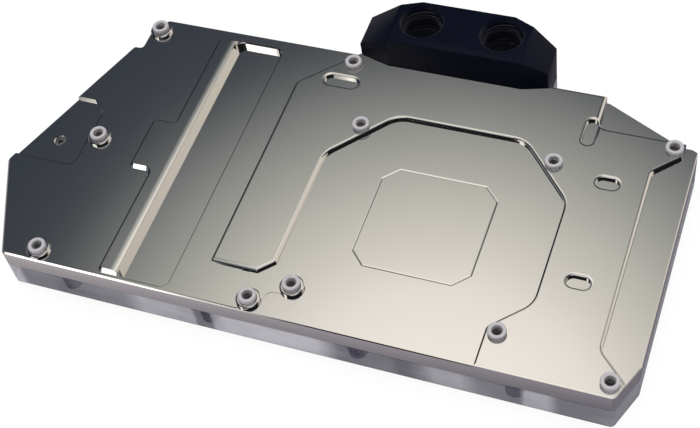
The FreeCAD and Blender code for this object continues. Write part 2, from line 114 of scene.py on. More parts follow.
class Recipe:
    def __init__(self, tree):
        self.tree = tree

    def add(self, kind, settings=None, out=0, **values):
        node = self.tree.nodes.new(kind)
        for name, value in (settings or {}).items():
            if name == "stops":
                ramp = node.color_ramp
                while len(ramp.elements) < len(value):
                    ramp.elements.new(1.0)
                for element, (position, colour) in zip(ramp.elements, value):
                    element.position = position
                    element.color = (*colour, 1.0)
            else:
                setattr(node, name, value)
        for name, value in values.items():
            if isinstance(value, Wire):
                self.tree.links.new(value.socket, inputOf(node, name))
            else:
                inputOf(node, name).default_value = value
        return Wire(self.tree, node.outputs[out])

    def outputs(self, kind, **values):
        node = self.add(kind, **values).socket.node
        return {socket.name: Wire(self.tree, socket) for socket in node.outputs}

    def link(self, wire, node, name):
        self.tree.links.new(wire.socket, node.inputs[name])

    def objectSpot(self):
        return self.add("ShaderNodeTexCoord", out=3)

    def noise(self, vector, scale, detail):
        return self.add("ShaderNodeTexNoise", Vector=vector, Scale=scale, Detail=detail)

    def stretchedNoise(self, scale, detail):
        return self.noise(self.add("ShaderNodeMapping", Vector=self.objectSpot(), Scale=scale), 1.0, detail)

    def blend(self, share, low, high):
        return self.add("ShaderNodeMix", {"data_type": "RGBA"}, out=2, i0=share, i6=(*low, 1.0), i7=(*high, 1.0))

    def scaled(self, colour, strength):
        return self.add("ShaderNodeVectorMath", {"operation": "SCALE"}, i0=colour, Scale=strength)

    def plus(self, first, second):
        return self.add("ShaderNodeVectorMath", {"operation": "ADD"}, i0=first, i1=second)


def material(name, fixed):
    mat = bpy.data.materials.new(name)
    mat.use_nodes = True
    shader = mat.node_tree.nodes["Principled BSDF"]
    for key, value in fixed.items():
        shader.inputs[key].default_value = value
    return mat, Recipe(mat.node_tree), shader


def shade(colour, factor):
    return [c * factor for c in colour]


# finishes: "cloud" is the scale of soft patches, "haze" and "shades" what they do to the roughness and the colour
def mottle(r, shader, look):
    cloud = r.noise(r.objectSpot(), look["cloud"], look["detail"])
    r.link(look["roughness"] + look["haze"] * (cloud - 0.5), shader, "Roughness")
    low, high = look["shades"]
    r.link(r.blend(cloud, shade(look["tint"], low), shade(look["tint"], high)), shader, "Base Color")


def makeMottled(name, fixed, look):
    mat, r, shader = material(name, fixed)
    mottle(r, shader, look)
    return mat


nickelLook = {"tint": (0.85, 0.84, 0.81), "shades": (1.0, 0.97), "roughness": 0.074, "haze": 0.04, "cloud": 45.0,
              "detail": 3.0, "grain": 0.012, "grainScale": 2600.0, "marks": 0.03, "markScale": (30.0, 30.0, 3200.0),
              "depth": 0.0002, "rollStart": (34.9 - originX) / 1000, "rollWidth": 0.0023, "rollTilt": 0.095,
              "rollAbove": 0.01555}


def makeNickel(look):
    mat, r, shader = material("polishedNickel", {"Metallic": 1.0})
    mottle(r, shader, look)
    fine = r.noise(r.objectSpot(), look["grainScale"], 2.0)
    marks = r.stretchedNoise(look["markScale"], 1.0)
    bump = r.add("ShaderNodeBump", Strength=look["grain"], Distance=look["depth"], Height=fine)
    bump = r.add("ShaderNodeBump", Strength=look["marks"], Distance=look["depth"], Height=marks, Normal=bump)
    spot = r.outputs("ShaderNodeSeparateXYZ", Vector=r.objectSpot())  # the strip's top rolls off beside the trench
    into = ((spot["X"] - look["rollStart"]) / look["rollWidth"]).within(0.0, 1.0)
    drop = -0.5 * look["rollWidth"] * look["rollTilt"]
    roll = into * into * spot["Z"].isAbove(look["rollAbove"]) * drop
    r.link(r.add("ShaderNodeBump", Strength=1.0, Distance=1.0, Height=roll, Normal=bump), shader, "Normal")
    return mat


# painted light and shade on the clear edge along its length, darker in front of the screws: (millimetres from the
# left, share)
paintedEdgeLight = [(0, 0.85), (3, 0.8), (5, 0.14), (15, 0.16), (16, 0.06), (20, 0.06), (21, 0.14), (38, 0.2),
            (44, 0.68), (59.5, 0.66), (60.5, 0.1), (65, 0.1), (66, 0.68), (70, 0.93), (97, 0.9), (103, 0.2),
            (104.5, 0.1), (109.5, 0.1), (111, 0.18), (119, 0.16), (121, 0.0), (124, 0.04), (127, 0.2), (131, 0.55),
            (138, 0.58), (143, 0.22), (149, 0.12), (154.5, 0.1), (156, 0.65), (162, 0.7), (165, 0.14), (185, 0.2)]
acrylicLook = {"dark": (0.03, 0.03, 0.055), "light": (0.545, 0.53, 0.57), "ior": 1.49, "shine": 0.6,
               "roughness": 0.06, "uneven": 0.8, "solid": 0.8, "rims": 0.15, "rimWidth": 0.0006, "rimShade": 0.4,
               "blotch": (60.0, 60.0, 150.0), "blotchLight": 0.5, "blotchSolid": 0.06, "length": 185.0,
               "thickness": 0.0088}
clearLook = {**acrylicLook, "solid": 0.05, "rims": 0.0, "light": (0.55, 0.54, 0.60)}  # faces inside the cover


def makeAcrylic(name, look):
    mat, r, shader = material(name, {"IOR": look["ior"], "Specular IOR Level": look["shine"]})
    spot = r.outputs("ShaderNodeSeparateXYZ", Vector=r.objectSpot())
    along, height = spot["X"] * 1000.0 + originX, spot["Z"]
    edge = (height.atMost(look["thickness"] - height) / look["rimWidth"]).within(0.0, 1.0)
    blotch = r.stretchedNoise(look["blotch"], 2.0)
    # painted light and shade: the edge's colour is painted lighter or darker along its length
    stops = [(x / look["length"], (share, share, share)) for x, share in paintedEdgeLight]
    share = r.add("ShaderNodeValToRGB", {"stops": stops}, Fac=along / look["length"])
    # painted shade: the colour is darker towards the edge's top and bottom rims
    lit = share * (1.0 - look["rimShade"] + look["rimShade"] * edge)
    bright = (lit + look["blotchLight"] * (blotch - 0.5)).within(0.0, 1.0)
    r.link(r.blend(bright, look["dark"], look["light"]), shader, "Base Color")
    solid = look["solid"] + look["rims"] * (1.0 - edge) + look["blotchSolid"] * (blotch - 0.5)
    r.link(solid.within(0.0, 1.0), shader, "Alpha")
    r.link(look["roughness"] * (1.0 + look["uneven"] * (blotch - 0.5)), shader, "Roughness")
    return mat


acetalLook = {"tint": (0.0012, 0.0020, 0.0062), "shades": (1.0, 1.5), "roughness": 0.36, "haze": 0.10,
              "cloud": 120.0, "detail": 3.0, "grain": 0.10, "grainScale": (900.0, 90.0, 900.0), "depth": 0.0001,
              "shine": 0.11}
threadAcetalLook = {**acetalLook, "shine": 0.12, "roughness": 0.3}


def makeAcetal(name, look):
    mat, r, shader = material(name, {"Specular IOR Level": look["shine"]})
    mottle(r, shader, look)
    marks = r.stretchedNoise(look["grainScale"], 3.0)
    r.link(r.add("ShaderNodeBump", Strength=look["grain"], Distance=look["depth"], Height=marks), shader, "Normal")
    return mat


steelLook = {"tint": (0.09, 0.09, 0.11), "shades": (0.85, 1.0), "roughness": 0.22, "haze": 0.15, "cloud": 900.0,
             "detail": 3.0}
threadNickelLook = {**steelLook, "tint": (0.74, 0.73, 0.72), "roughness": 0.5}
nylonLook = {"tint": (0.55, 0.53, 0.55), "shades": (0.95, 1.0), "roughness": 0.34, "haze": 0.12, "cloud": 500.0,
             "detail": 2.0, "through": 0.35, "ior": 1.5}
rubberLook = {"tint": (0.018, 0.018, 0.019), "shades": (1.0, 1.6), "roughness": 0.6, "haze": 0.2, "cloud": 700.0,
              "detail": 3.0}

nickel = makeNickel(nickelLook)
acrylic, clearInside = makeAcrylic("clearAcrylic", acrylicLook), makeAcrylic("clearInside", clearLook)
acetal, threadAcetal = makeAcetal("blackAcetal", acetalLook), makeAcetal("threadAcetal", threadAcetalLook)
steel = makeMottled("screwSteel", {"Metallic": 1.0}, steelLook)
threadNickel = makeMottled("threadNickel", {"Metallic": 1.0}, threadNickelLook)
nylon = makeMottled("milkyNylon", {"Transmission Weight": nylonLook["through"], "IOR": nylonLook["ior"]}, nylonLook)
rubber = makeMottled("sealRubber", {}, rubberLook)
print("materials made")


# mesh helpers
def setMaterial(obj, mat):
    obj.data.materials.clear()
    obj.data.materials.append(mat)


def addPiece(name, mesh, mat):
    obj = newObject(name, mesh)
    setMaterial(obj, mat)
    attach(obj, "root")
    return obj


def flatten(obj):
    bpy.context.view_layer.update()
    graph = bpy.context.evaluated_depsgraph_get()
    mesh = bpy.data.meshes.new_from_object(obj.evaluated_get(graph))
    obj.modifiers.clear()
    old = obj.data
    obj.data = mesh
    bpy.data.meshes.remove(old)


def shadeByAngle(mesh, degrees):
    mesh.polygons.foreach_set("use_smooth", [True] * len(mesh.polygons))
    mesh.set_sharp_from_angle(angle=math.radians(degrees))
    mesh.update()


def mergedCopy(node, name):
    mesh = nodes[node].data.copy()
    mesh.name = name
    work = bmesh.new()
    work.from_mesh(mesh)
    bmesh.ops.remove_doubles(work, verts=work.verts, dist=1e-6)
    work.to_mesh(mesh)
    work.free()
    for layer in list(mesh.uv_layers):
        mesh.uv_layers.remove(layer)
    for old in [a for a in mesh.attributes if a.name in ("custom_normal", "sharp_edge", "sharp_face")]:
        mesh.attributes.remove(old)
    return mesh


def lathe(profile, steps, centre=(0.0, 0.0)):  # profile is (radius, height) in millimetres
    work = bmesh.new()
    rings = []
    for radius, z in profile:
        if radius == 0:
            rings.append([work.verts.new(Vector((centre[0], centre[1], z)) / 1000)])
            continue
        ring = []
        for i in range(steps):
            angle = 2 * math.pi * i / steps
            point = Vector((centre[0] + radius * math.cos(angle), centre[1] + radius * math.sin(angle), z))
            ring.append(work.verts.new(point / 1000))
        rings.append(ring)
    for low, high in zip(rings, rings[1:]):
        for i in range(steps):
            j = (i + 1) % steps
            corners = [low[i % len(low)], low[j % len(low)], high[j % len(high)], high[i % len(high)]]
            work.faces.new(list(dict.fromkeys(corners)))
    bmesh.ops.recalc_face_normals(work, faces=work.faces)
    mesh = bpy.data.meshes.new("turned")
    work.to_mesh(mesh)
    work.free()
    return mesh


def joinMeshes(name, meshes):
    work = bmesh.new()
    for mesh in meshes:
        work.from_mesh(mesh)
    joined = bpy.data.meshes.new(name)
    work.to_mesh(joined)
    work.free()
    return joined


def cutAway(obj, cutterMesh):
    cutter = newObject("cutter", cutterMesh)
    cut = obj.modifiers.new("cut", "BOOLEAN")
    cut.operation = "DIFFERENCE"
    cut.solver = "EXACT"
    cut.object = cutter
    flatten(obj)
    bpy.data.objects.remove(cutter)


# geometry node helpers: inputs are (label, kind of socket)
class Flow:
    def __init__(self, name, inputs):
        self.group = bpy.data.node_groups.new(name, "GeometryNodeTree")
        face = self.group.interface
        face.new_socket("Geometry", in_out="INPUT", socket_type="NodeSocketGeometry")
        self.ids = {}
        for label, kind in inputs:
            item = face.new_socket(label, in_out="INPUT", socket_type="NodeSocket" + kind)
            self.ids[label] = item.identifier
        face.new_socket("Geometry", in_out="OUTPUT", socket_type="NodeSocketGeometry")
        self.given = self.group.nodes.new("NodeGroupInput")
        self.result = self.group.nodes.new("NodeGroupOutput")

    def add(self, kind, settings=None, **values):
        node = self.group.nodes.new(kind)
        for name, value in (settings or {}).items():
            setattr(node, name, value)
        for name, value in values.items():
            if isinstance(value, bpy.types.NodeSocket):
                self.group.links.new(value, inputOf(node, name))
            else:
                inputOf(node, name).default_value = value
        return node

    def socket(self, label):
        return self.given.outputs[label]

    def endOnSpots(self, shape, **values):
        placed = self.add("GeometryNodeInstanceOnPoints", Points=self.given.outputs[0], Instance=shape, **values)
        real = self.add("GeometryNodeRealizeInstances", Geometry=placed.outputs[0])
        dressed = self.add("GeometryNodeSetMaterial", Geometry=real.outputs[0], Material=self.socket("Material"))
        self.group.links.new(dressed.outputs[0], self.result.inputs[0])


def grow(name, flow, spots, values, mat):
    mesh = bpy.data.meshes.new(name)
    mesh.from_pydata(spots, [], [])
    obj = newObject(name, mesh)
    modifier = obj.modifiers.new("make", "NODES")
    modifier.node_group = flow.group
    modifier[flow.ids["Material"]] = mat
    for label, value in values.items():
        modifier[flow.ids[label]] = value
    flatten(obj)
    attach(obj, "root")
    return obj


# the cold plate: the solid's own form, welded, with a narrow ring inside some edges and shading normals that make its
# small chamfers soft. A rule covers the faces inside its x, y and z, and their normals lean from "start" degrees at
# the top to "lean" at the foot. "right" is the start for faces towards the right
nearly = 0.01  # millimetres
sharpPlate = 28
rimRings = [{"width": 0.0004, "levels": (15.59, 15.7), "reach": (54.74, 240), "even": True},
            {"width": 0.0003, "levels": (14.59, 14.61), "reach": (-40, 240), "even": False}]
flatRims = {"above": 15.59, "left": 54.74, "right": 182.24, "front": 1.05, "lean": 5}
pocketRim = {"level": 14.6, "right": 6.9, "y": (34.4, 57.5), "lean": 25}
trenchWall = {"x": (36.3, 37.25), "above": 12.65, "steepest": 0.70}
slotRim = {"z": (15.19, 15.6), "foot": 15.2, "lean": 17, "start": 5}
topEdge = {"z": (14.9, 15.6), "foot": 15.0}
edgeRules = [
    {"x": (98, 135), "y": (22, 58), "z": (14.0, 14.56), "foot": 14.2, "lean": 10, "walls": True},  # pad's groove
    {**slotRim, "x": (68, 83), "y": (81.5, 88)},  # rims of the four slots
    {**slotRim, "x": (150, 156), "y": (77, 89)},
    {**slotRim, "x": (157, 167), "y": (63, 69)},
    {**slotRim, "x": (157, 167), "y": (29, 35)},
    {**topEdge, "x": (138.6, 141.4), "y": (-1, 0.7), "lean": 8, "start": 5},  # plateau's outer edges
    {**topEdge, "x": (141.4, 240), "y": (-1, 0.7), "lean": 3, "start": 1},
    {**topEdge, "x": (178, 240), "y": (-1, 85), "lean": 3, "start": 1},
    {"x": (36, 54), "y": (-1, 98), "z": (14.19, 14.6), "foot": 14.2, "lean": 28, "start": 20},  # trench's rim
    {"x": (20, 32.5), "y": (-1, 98), "z": (14.5, 15.6), "foot": 15.0, "lean": 12, "start": 4,
     "leftward": 0.3},  # strip's left side
    {**topEdge, "x": (50, 76), "y": (5, 14), "lean": 13, "start": 6, "right": 27},  # arm's front end
    {**topEdge, "x": (-40, 240), "y": (-20, 140), "lean": 42, "start": 5, "right": 27},  # all others, and the bosses
]


def insetTop(mesh, width, levels, reach, even):
    work = bmesh.new()
    work.from_mesh(mesh)
    tops = []
    for face in work.faces:
        middle = planSpot(face.calc_center_median())
        if face.normal.z > 0.999 and levels[0] < middle.z < levels[1] and reach[0] < middle.x < reach[1]:
            tops.append(face)
    bmesh.ops.inset_region(work, faces=tops, thickness=width, use_even_offset=even, use_boundary=True)
    work.to_mesh(mesh)
    work.free()


def sideways(normal):
    return Vector((normal.x, normal.y, 0))


def leanOut(normal, degrees):
    turned = math.radians(degrees)
    return tuple(sideways(normal).normalized() * math.sin(turned) + Vector((0, 0, math.cos(turned))))


def flatNormal(corner, normal):  # a flat's corner leans a little towards the chamfer or wall beside it
    spot, rims, lean = planSpot(corner.vert.co), Vector((0, 0, 0)), flatRims["lean"]
    inPlan = flatRims["left"] < spot.x < flatRims["right"] and spot.y > flatRims["front"]
    onTop = inPlan and spot.z > flatRims["above"]
    (front, back), right = pocketRim["y"], pocketRim["right"]
    atPocket = abs(spot.z - pocketRim["level"]) < nearly and spot.x < right and front < spot.y < back
    if atPocket:
        lean = pocketRim["lean"]
    for other in corner.vert.link_faces:
        isChamfer, isWall = 0.3 < other.normal.z < 0.99, abs(other.normal.z) < 0.1
        if (onTop and isChamfer) or (atPocket and isWall):
            rims += sideways(other.normal)
    return leanOut(rims, lean) if rims.length > 0.1 else tuple(normal)


def ruleFor(rules, middle, normal, levels):
    for rule in rules:
        (left, right), (front, back), (low, high) = rule["x"], rule["y"], rule["z"]
        inPlan = left < middle.x < right and front < middle.y < back
        inHeight = low - nearly < min(levels) and max(levels) < high + nearly
        if inPlan and inHeight and -normal.x >= rule.get("leftward", -1):
            return rule
    return None


def roundEdges(mesh, rules):
    work = bmesh.new()
    work.from_mesh(mesh)
    normals = [tuple(corner.vector) for corner in mesh.corner_normals]
    for face in work.faces:
        corners = list(zip(mesh.polygons[face.index].loop_indices, face.loops))
        normal = face.normal
        if abs(normal.z) > 0.999:
            for index, corner in corners:
                normals[index] = flatNormal(corner, normal)
            continue
        levels = [corner.vert.co.z * 1000 for corner in face.loops]
        rule = ruleFor(rules, planSpot(face.calc_center_median()), normal, levels)
        if rule is None or normal.z < -0.1 or (normal.z < 0.3 and not rule.get("walls")):
            continue
        facesRight = normal.x > 0.6 and abs(normal.y) < 0.1
        start = rule.get("right", 0) if facesRight else rule.get("start", 0)
        for (index, corner), level in zip(corners, levels):
            share = (rule["z"][1] - level) / (rule["z"][1] - rule["foot"])
            normals[index] = leanOut(normal, start + (rule["lean"] - start) * max(0.0, min(1.0, share)))
    for face in work.faces:  # the trench's tall wall: plain below, rounded at its top
        spot, normal = planSpot(face.calc_center_median()), face.normal
        inWall = trenchWall["x"][0] < spot.x < trenchWall["x"][1] and spot.z > trenchWall["above"]
        if not inWall or normal.x <= 0.02 or abs(normal.y) >= 0.1:
            continue
        for index in mesh.polygons[face.index].loop_indices:
            if normal.x > trenchWall["steepest"]:
                normals[index] = (1.0, 0.0, 0.0)
            else:
                slope = min(normals[index][0], trenchWall["steepest"])
                normals[index] = (slope, 0.0, math.sqrt(1 - slope * slope))
    work.free()
    mesh.normals_split_custom_set(normals)


plateMesh = mergedCopy("cold_plate", "coldPlate")
for ring in rimRings:
    insetTop(plateMesh, **ring)
shadeByAngle(plateMesh, sharpPlate)
roundEdges(plateMesh, edgeRules)
coldPlate = addPiece("coldPlate", plateMesh, nickel)
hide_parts("cold_plate")
print("cold plate dressed")

plateauTop = 15.6
standoffs = [(10.8, 92.2), (10.2, 46.6), (10.8, 3.9), (76.9, 92.2), (87.3, 69.2), (145.7, 69.2), (177.3, 82.0),
             (76.9, 3.9), (87.3, 10.8), (145.7, 10.8), (177.3, 3.9)]

# washers: a rounded square section carried round a circle
washerSizes = {"outer": 2.6, "bore": 1.45, "thickness": 1.6, "rounding": 0.45, "sides": 64, "roundingSteps": 4,
               "sharpAngle": 35}


def ringFlow(s):
    flow = Flow("ringOnSpots", [("Middle Radius", "Float"), ("Wall", "Float"), ("Height", "Float"),
                                ("Rounding", "Float"), ("Material", "Material")])
    circle = flow.add("GeometryNodeCurvePrimitiveCircle", Resolution=s["sides"], Radius=flow.socket("Middle Radius"))
    section = flow.add("GeometryNodeCurvePrimitiveQuadrilateral", Width=flow.socket("Wall"),
                       Height=flow.socket("Height"))
    softened = flow.add("GeometryNodeFilletCurve", {"mode": "POLY"}, Curve=section.outputs[0],
                        Count=s["roundingSteps"], Radius=flow.socket("Rounding"))
    ring = flow.add("GeometryNodeCurveToMesh", Curve=circle.outputs[0], Profile_Curve=softened.outputs[0])
    flow.endOnSpots(ring.outputs[0])
    return flow


def makeWashers(s):
    spots = [place(x, y, plateauTop + s["thickness"] / 2) for x, y in standoffs]
    washers = grow("washers", ringFlow(s), spots, {
        "Middle Radius": (s["outer"] + s["bore"]) / 2000, "Wall": (s["outer"] - s["bore"]) / 1000,
        "Height": s["thickness"] / 1000, "Rounding": s["rounding"] / 1000}, nylon)
    shadeByAngle(washers.data, s["sharpAngle"])
    return washers


washers = makeWashers(washerSizes)
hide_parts(*["washer_%d" % (i + 1) for i in range(len(standoffs))])
print("washers made:", len(washers.data.polygons))

# the terminal: a prism with slanted ends and softened edges, then its ports, gasket recesses and screw holes
terminalSizes = {"front": 94.1, "back": 112.1, "middle": 108.45, "left": 77.85, "right": 136.95, "half": 20.9,
                 "leftFront": 96.7, "leftBack": 108.3, "leftShoulder": 109.6, "rightFront": 96.31,
                 "rightBack": 106.9, "rightShoulder": 109.4, "backHalf": 14.6, "bottom": 8.8, "top": 26.5,
                 "leftDrop": 6.4, "rightDrop": 4.9, "softening": 0.28, "portPitch": 25.0, "portY": 104.2,
                 "portRadius": 6.58, "portDepth": 12.0, "countersink": 0.35, "bore": 4.5, "recess": 6.8,
                 "recessDepth": 1.3, "screwRadius": 1.63, "screwDepth": 7.0, "portSides": 72, "screwSides": 24,
                 "softAngle": 12, "sharpAngle": 30}
terminalSpots = [(83.85, 101.6), (108.45, 101.6), (131.75, 101.6)]
portPlaces = [(terminalSizes["middle"] + side * terminalSizes["portPitch"] / 2, terminalSizes["portY"])
              for side in (-1, 1)]
past = 1.0  # millimetres that a cutter reaches past what it cuts

# threads: a ridge on a spiral inside each hole
threadSizes = {"hole": 1.5, "ridge": 0.24, "pitch": 0.5, "length": 3.6, "top": plateauTop - 0.25, "steps": 18}
portThread = {"hole": 6.58, "ridge": 0.46, "pitch": 1.337, "length": 10.6, "top": 25.7, "steps": 56}
smallHole = (-2.3, 43.2, 10.0)
ridgeOff, sharpThread = 0.02, 30  # share of a ridge that its middle stands off the hole's wall, and degrees


def threadFlow():
    flow = Flow("threadOnSpots", [("Radius", "Float"), ("Ridge", "Float"), ("Turns", "Float"), ("Length", "Float"),
                                  ("Steps", "Int"), ("Material", "Material")])
    spiral = flow.add("GeometryNodeCurveSpiral", Resolution=flow.socket("Steps"), Rotations=flow.socket("Turns"),
                      Start_Radius=flow.socket("Radius"), End_Radius=flow.socket("Radius"),
                      Height=flow.socket("Length"))
    section = flow.add("GeometryNodeCurvePrimitiveCircle", Resolution=4, Radius=flow.socket("Ridge"))
    ridge = flow.add("GeometryNodeCurveToMesh", Curve=spiral.outputs[0], Profile_Curve=section.outputs[0],
                     Fill_Caps=True)
    flow.endOnSpots(ridge.outputs[0])
    return flow


threads = threadFlow()


def threadRidges(name, spots, s, mat):
    piece = grow(name, threads, spots, {
        "Radius": (s["hole"] - s["ridge"] * ridgeOff) / 1000, "Ridge": s["ridge"] / 1000,
        "Turns": s["length"] / s["pitch"], "Length": s["length"] / 1000, "Steps": s["steps"]}, mat)
    shadeByAngle(piece.data, sharpThread)
    return piece


holeSpots = [place(x, y, threadSizes["top"] - threadSizes["length"]) for x, y in standoffs] + [place(*smallHole)]
threadRidges("standoffThreads", holeSpots, threadSizes, threadNickel)
portSpots = [place(x, y, portThread["top"] - portThread["length"]) for x, y in portPlaces]
portThreads = threadRidges("portThreads", portSpots, portThread, threadAcetal)
portThreads.visible_glossy = False
print("threads made")


def makeTerminal(s):
    leftEnd, rightEnd = s["middle"] - s["half"], s["middle"] + s["half"]
    plan = [(leftEnd, s["front"]), (rightEnd, s["front"]), (s["right"], s["rightFront"]),
            (s["right"], s["rightBack"]), (rightEnd, s["rightShoulder"]), (s["middle"] + s["backHalf"], s["back"]),
            (s["middle"] - s["backHalf"], s["back"]), (leftEnd, s["leftShoulder"]), (s["left"], s["leftBack"]),
            (s["left"], s["leftFront"])]
    work = bmesh.new()
    low = [work.verts.new(place(x, y, s["bottom"])) for x, y in plan]
    high = [work.verts.new(place(x, y, s["top"])) for x, y in plan]
    work.faces.new(list(reversed(low)))
    work.faces.new(high)
    for i in range(len(plan)):
        j = (i + 1) % len(plan)
        work.faces.new([low[i], low[j], high[j], high[i]])
    for x, end, drop in ((leftEnd, s["left"], s["leftDrop"]), (rightEnd, s["right"], s["rightDrop"])):
        run = end - x
        slant = Vector((math.copysign(drop, run), 0, abs(run))).normalized()
        parts = list(work.verts) + list(work.edges) + list(work.faces)
        bmesh.ops.bisect_plane(work, geom=parts, plane_co=place(x, 0, s["top"]), plane_no=slant, clear_outer=True)
        bmesh.ops.holes_fill(work, edges=[e for e in work.edges if e.is_boundary])
    bmesh.ops.remove_doubles(work, verts=work.verts, dist=2e-5)
    bmesh.ops.recalc_face_normals(work, faces=work.faces)
    mesh = bpy.data.meshes.new("terminal")
    work.to_mesh(mesh)
    work.free()
    return mesh


def softenEdges(obj, s):
    soften = obj.modifiers.new("soften", "BEVEL")
    soften.width = s["softening"] / 1000
    soften.segments = 2
    soften.limit_method = "ANGLE"
    soften.angle_limit = math.radians(s["softAngle"])
    flatten(obj)


def terminalCutter(s):
    under, over, floor = s["bottom"] - past, s["top"] + past, s["top"] - s["portDepth"]
    recessTop, screwTop = s["bottom"] + s["recessDepth"], s["bottom"] + s["screwDepth"]
    port = [(0, under), (s["recess"], under), (s["recess"], recessTop), (s["bore"], recessTop), (s["bore"], floor),
            (s["portRadius"], floor), (s["portRadius"], s["top"] - s["countersink"]),
            (s["portRadius"] + s["countersink"] + past, over), (0, over)]
    hole = [(0, under), (s["screwRadius"], under), (s["screwRadius"], screwTop), (0, screwTop)]
    cuts = [lathe(port, s["portSides"], place(x, y).xy * 1000) for x, y in portPlaces]
    cuts += [lathe(hole, s["screwSides"], place(x, y).xy * 1000) for x, y in terminalSpots]
    return joinMeshes("terminalCutter", cuts)


terminal = addPiece("terminalBlock", makeTerminal(terminalSizes), acetal)
softenEdges(terminal, terminalSizes)
cutAway(terminal, terminalCutter(terminalSizes))
setMaterial(terminal, acetal)
shadeByAngle(terminal.data, terminalSizes["sharpAngle"])
terminal.visible_glossy = False
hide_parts("terminal")
print("terminal made:", len(terminal.data.polygons))

# cover and terminal screws: turned cap screws with hexagon sockets, put in place by one tree
screwSizes = {"headRadius": 2.72, "headHeight": 3.0, "headBottom": 0.3, "chamfer": 0.3, "underChamfer": 0.12,
              "shank": 1.45, "plain": 1.2, "pitch": 0.5, "groove": 0.26, "tip": 0.6, "tipTaper": 0.4, "socket": 2.5,
              "socketDepth": 1.5, "socketCone": 0.5, "turn": 0.7, "sides": 32, "sharpAngle": 35}
coverSpots = [(18.0 + i * 44.7, y) for i in range(4) for y in (4.0, 91.0)] + [(14.5, 66.0), (164.5, 48.0)]
screwRows = [("coverScrews", coverSpots, 8.0, "cover_screws"),
             ("terminalScrews", terminalSpots, 12.0, "terminal_screws")]


def makeScrew(name, s, length):
    low, under = s["headBottom"], s["headBottom"] + s["headHeight"]
    shank, rim, end = s["shank"], s["headRadius"], under + length
    profile = [(0, low), (rim - s["chamfer"], low), (rim, low + s["chamfer"]), (rim, under - s["underChamfer"]),
               (rim - s["underChamfer"], under), (shank, under)]
    z = under + s["plain"]
    profile.append((shank, z))
    while z < end - s["tip"]:
        profile += [(shank - s["groove"], z + s["pitch"] / 2), (shank, z + s["pitch"])]
        z += s["pitch"]
    profile += [(shank - s["tipTaper"], end), (0, end)]
    screw = newObject(name, lathe(profile, s["sides"]))
    radius, deep = s["socket"] / math.sqrt(3), low + s["socketDepth"]
    cutAway(screw, lathe([(0, low - past), (radius, low - past), (radius, deep), (0, deep + s["socketCone"])], 6))
    shadeByAngle(screw.data, s["sharpAngle"])
    return screw


def copiesFlow():
    flow = Flow("copiesOnSpots", [("Copied", "Object"), ("Turn", "Float"), ("Material", "Material")])
    info = flow.add("GeometryNodeObjectInfo", Object=flow.socket("Copied"))
    index = flow.add("GeometryNodeInputIndex")
    turn = flow.add("ShaderNodeMath", {"operation": "MULTIPLY"}, i0=index.outputs[0], i1=flow.socket("Turn"))
    around = flow.add("ShaderNodeCombineXYZ", Z=turn.outputs[0])
    flow.endOnSpots(info.outputs["Geometry"], Rotation=around.outputs[0])
    return flow


copies = copiesFlow()
for name, spots, length, node in screwRows:
    pattern = makeScrew(name + "Pattern", screwSizes, length)
    settings = {"Copied": pattern, "Turn": screwSizes["turn"]}
    piece = grow(name, copies, [place(x, y) for x, y in spots], settings, steel)
    bpy.data.objects.remove(pattern)
    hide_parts(node)
print("screws made")

# the clear cover: the solid's own form with round screw holes, and the clearer finish on its inner faces
coverSizes = {"thickness": 8.8, "headRadius": 3.31, "headDepth": 3.3, "holeRadius": 1.85, "nearScrew": 0.0037,
              "tallWall": 0.0075, "lowEdge": 0.0008, "highEdge": 0.008, "sides": 40, "sharpAngle": 28}
screwPlaces = [place(x, y).xy for x, y in coverSpots + terminalSpots]


def boreScrewHoles(obj, s):
    bore = [(0, -past), (s["headRadius"], -past), (s["headRadius"], s["headDepth"]),
            (s["holeRadius"], s["headDepth"]), (s["holeRadius"], s["thickness"] + past), (0, s["thickness"] + past)]
    cutAway(obj, joinMeshes("screwBores", [lathe(bore, s["sides"], spot * 1000) for spot in screwPlaces]))


def isOutside(mesh, face, s):
    levels = [mesh.vertices[i].co.z for i in face.vertices]
    low, high = min(levels), max(levels)
    atEdge = high - low > s["tallWall"] or high < s["lowEdge"] or low > s["highEdge"]
    atScrew = any((face.center.xy - spot).length < s["nearScrew"] for spot in screwPlaces)
    return abs(face.normal.z) < 0.9 and atEdge and not atScrew


cover = addPiece("acrylicCover", mergedCopy("acrylic_cover", "acrylicCover"), acrylic)
boreScrewHoles(cover, coverSizes)
setMaterial(cover, acrylic)
cover.data.materials.append(clearInside)
for face in cover.data.polygons:
    face.material_index = 0 if isOutside(cover.data, face, coverSizes) else 1
shadeByAngle(cover.data, coverSizes["sharpAngle"])
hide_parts("acrylic_cover")
print("cover dressed:", len(cover.data.polygons))

# the inner pieces keep their solids
for node in ("main_gasket", "port_gasket_1", "port_gasket_2"):
    setMaterial(nodes[node], rubber)
setMaterial(nodes["jet_plate"], steel)

# the floor: near white to the camera, and a painted reflection: a grey glow that only reflections see, darker from
# left to right and brighter towards the front
floorLook = {"tint": (0.95, 0.95, 0.95), "roughness": 0.9, "shine": 0.1, "wash": 0.88, "washBehindCover": 0.48,
             "mirrorLeft": (0.42, 0.39, 0.42), "mirrorRight": (0.215, 0.20, 0.235), "mirrorSpan": (-0.09, 0.09),
             "riseSpan": (-0.0665, -0.0612), "rise": (1.4, 0.85)}
floorSizes = {"half": 6, "level": -0.0004}


